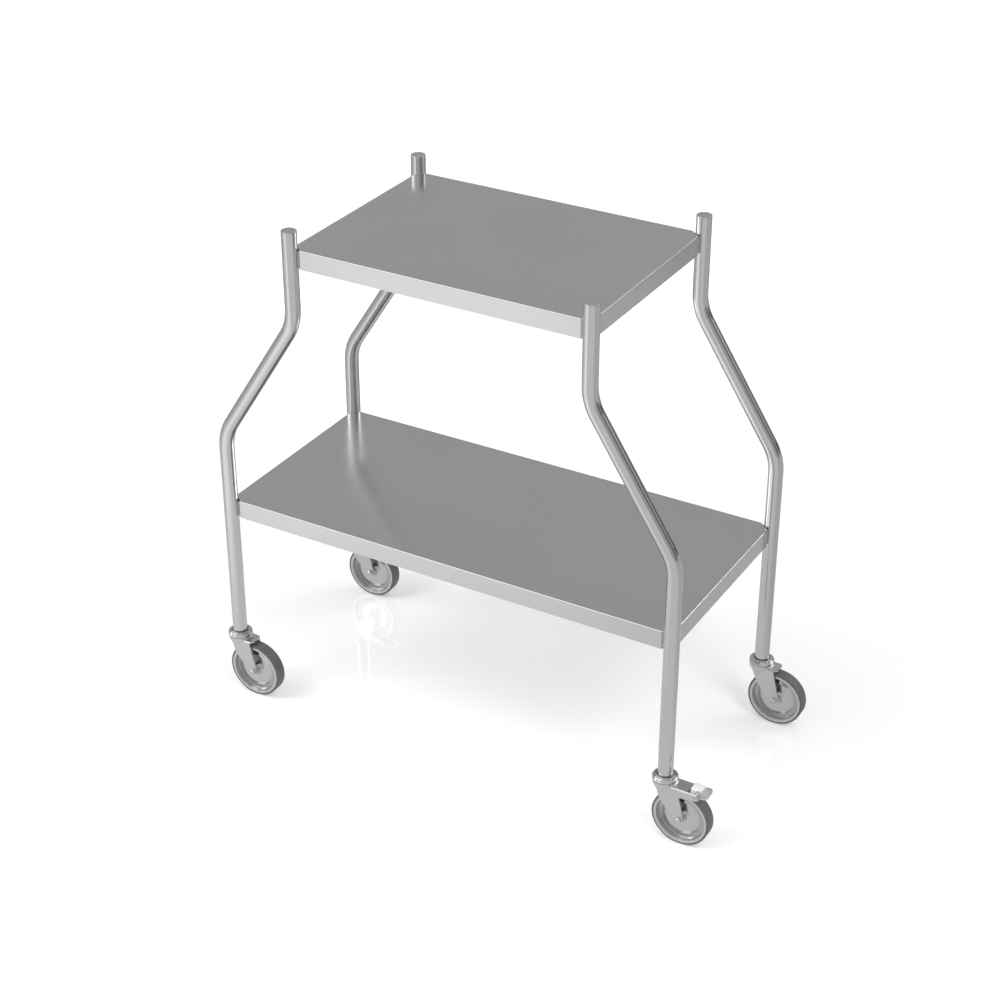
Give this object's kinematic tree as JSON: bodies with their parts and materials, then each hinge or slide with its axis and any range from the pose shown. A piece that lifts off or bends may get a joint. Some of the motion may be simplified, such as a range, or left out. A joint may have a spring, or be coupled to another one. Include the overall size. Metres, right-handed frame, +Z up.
{
  "type": "service cart",
  "caption": "Two-tier stainless service cart: splayed tube posts, folded flat shelves, the lower one longer, and swivel casters, some with foot brakes",
  "frame": {"origin": "on the floor under the centre of the bounding box", "axes": "+X along the shelves towards the trailing side of the casters, +Y from front to back, +Z up"},
  "size_m": [0.929, 0.4168, 0.9],
  "materials": {
    "tube_steel": "stainless tube, satin",
    "cap_steel": "stainless cap, satin",
    "sheet_steel": "brushed stainless sheet",
    "weld_steel": "ground weld",
    "expander_steel": "dark steel plug with collar",
    "race_steel": "bright zinc-plated pressed cup",
    "bolt_steel": "zinc-plated fastener",
    "fork_steel": "satin zinc-plated pressing",
    "wheel_plastic": "light grey moulded polyamide",
    "tread_rubber": "grey non-marking rubber",
    "pedal_plastic": "light grey moulded lever",
    "shoe_steel": "spring steel strip"
  },
  "bodies": {
    "frame": {"bottom_shelf": "sheet_steel", "bottom_shelf_stiffener": "sheet_steel", "corner_welds": "weld_steel", "expanders": "expander_steel", "post_back_left": "tube_steel", "post_back_right": "tube_steel", "post_caps": "cap_steel", "post_front_left": "tube_steel", "post_front_right": "tube_steel", "swivel_bolts": "bolt_steel", "top_shelf": "sheet_steel", "top_shelf_stiffener": "sheet_steel", "upper_races": "race_steel"},
    "caster_front_left": {"axle_front_left": "bolt_steel", "fork_front_left": "fork_steel"},
    "wheel_front_left": {"wheel_centre_front_left": "wheel_plastic", "tread_front_left": "tread_rubber"},
    "caster_front_right": {"axle_front_right": "bolt_steel", "fork_front_right": "fork_steel", "pedal_pin_front_right": "bolt_steel"},
    "wheel_front_right": {"wheel_centre_front_right": "wheel_plastic", "tread_front_right": "tread_rubber"},
    "pedal_front_right": {"brake_pedal_front_right": "pedal_plastic"},
    "shoe_front_right": {"brake_shoe_front_right": "shoe_steel"},
    "caster_back_left": {"axle_back_left": "bolt_steel", "fork_back_left": "fork_steel", "pedal_pin_back_left": "bolt_steel"},
    "wheel_back_left": {"wheel_centre_back_left": "wheel_plastic", "tread_back_left": "tread_rubber"},
    "pedal_back_left": {"brake_pedal_back_left": "pedal_plastic"},
    "shoe_back_left": {"brake_shoe_back_left": "shoe_steel"},
    "caster_back_right": {"axle_back_right": "bolt_steel", "fork_back_right": "fork_steel"},
    "wheel_back_right": {"wheel_centre_back_right": "wheel_plastic", "tread_back_right": "tread_rubber"}
  },
  "joints": [
    {"name": "swivel_front_left", "type": "hinge", "parent": "frame", "child": "caster_front_left", "pos_m": [-0.4435, -0.1875, 0.1], "axis": [0, 0, 1], "continuous": true},
    {"name": "roll_front_left", "type": "hinge", "parent": "caster_front_left", "child": "wheel_front_left", "pos_m": [-0.4105, -0.1875, 0.05], "axis": [0, 1, 0], "continuous": true},
    {"name": "swivel_front_right", "type": "hinge", "parent": "frame", "child": "caster_front_right", "pos_m": [0.3815, -0.1875, 0.1], "axis": [0, 0, 1], "continuous": true},
    {"name": "roll_front_right", "type": "hinge", "parent": "caster_front_right", "child": "wheel_front_right", "pos_m": [0.4145, -0.1875, 0.05], "axis": [0, 1, 0], "continuous": true},
    {"name": "brake_front_right", "type": "hinge", "parent": "caster_front_right", "child": "pedal_front_right", "pos_m": [0.4375, -0.1875, 0.1015], "axis": [0, 1, 0], "range_deg": [0, 22]},
    {"name": "press_front_right", "type": "hinge", "parent": "caster_front_right", "child": "shoe_front_right", "pos_m": [0.4115, -0.1875, 0.1057], "axis": [0, 1, 0], "range_deg": [0, 1.95]},
    {"name": "swivel_back_left", "type": "hinge", "parent": "frame", "child": "caster_back_left", "pos_m": [-0.4435, 0.1875, 0.1], "axis": [0, 0, 1], "continuous": true},
    {"name": "roll_back_left", "type": "hinge", "parent": "caster_back_left", "child": "wheel_back_left", "pos_m": [-0.4105, 0.1875, 0.05], "axis": [0, 1, 0], "continuous": true},
    {"name": "brake_back_left", "type": "hinge", "parent": "caster_back_left", "child": "pedal_back_left", "pos_m": [-0.3875, 0.1875, 0.1015], "axis": [0, 1, 0], "range_deg": [0, 22]},
    {"name": "press_back_left", "type": "hinge", "parent": "caster_back_left", "child": "shoe_back_left", "pos_m": [-0.4135, 0.1875, 0.1057], "axis": [0, 1, 0], "range_deg": [0, 1.95]},
    {"name": "swivel_back_right", "type": "hinge", "parent": "frame", "child": "caster_back_right", "pos_m": [0.3815, 0.1875, 0.1], "axis": [0, 0, 1], "continuous": true},
    {"name": "roll_back_right", "type": "hinge", "parent": "caster_back_right", "child": "wheel_back_right", "pos_m": [0.4145, 0.1875, 0.05], "axis": [0, 1, 0], "continuous": true}
  ],
  "couplings": [
    {"joint": "press_front_right", "follows": "brake_front_right", "ratio": 0.0855},
    {"joint": "press_back_left", "follows": "brake_back_left", "ratio": 0.0855}
  ]
}
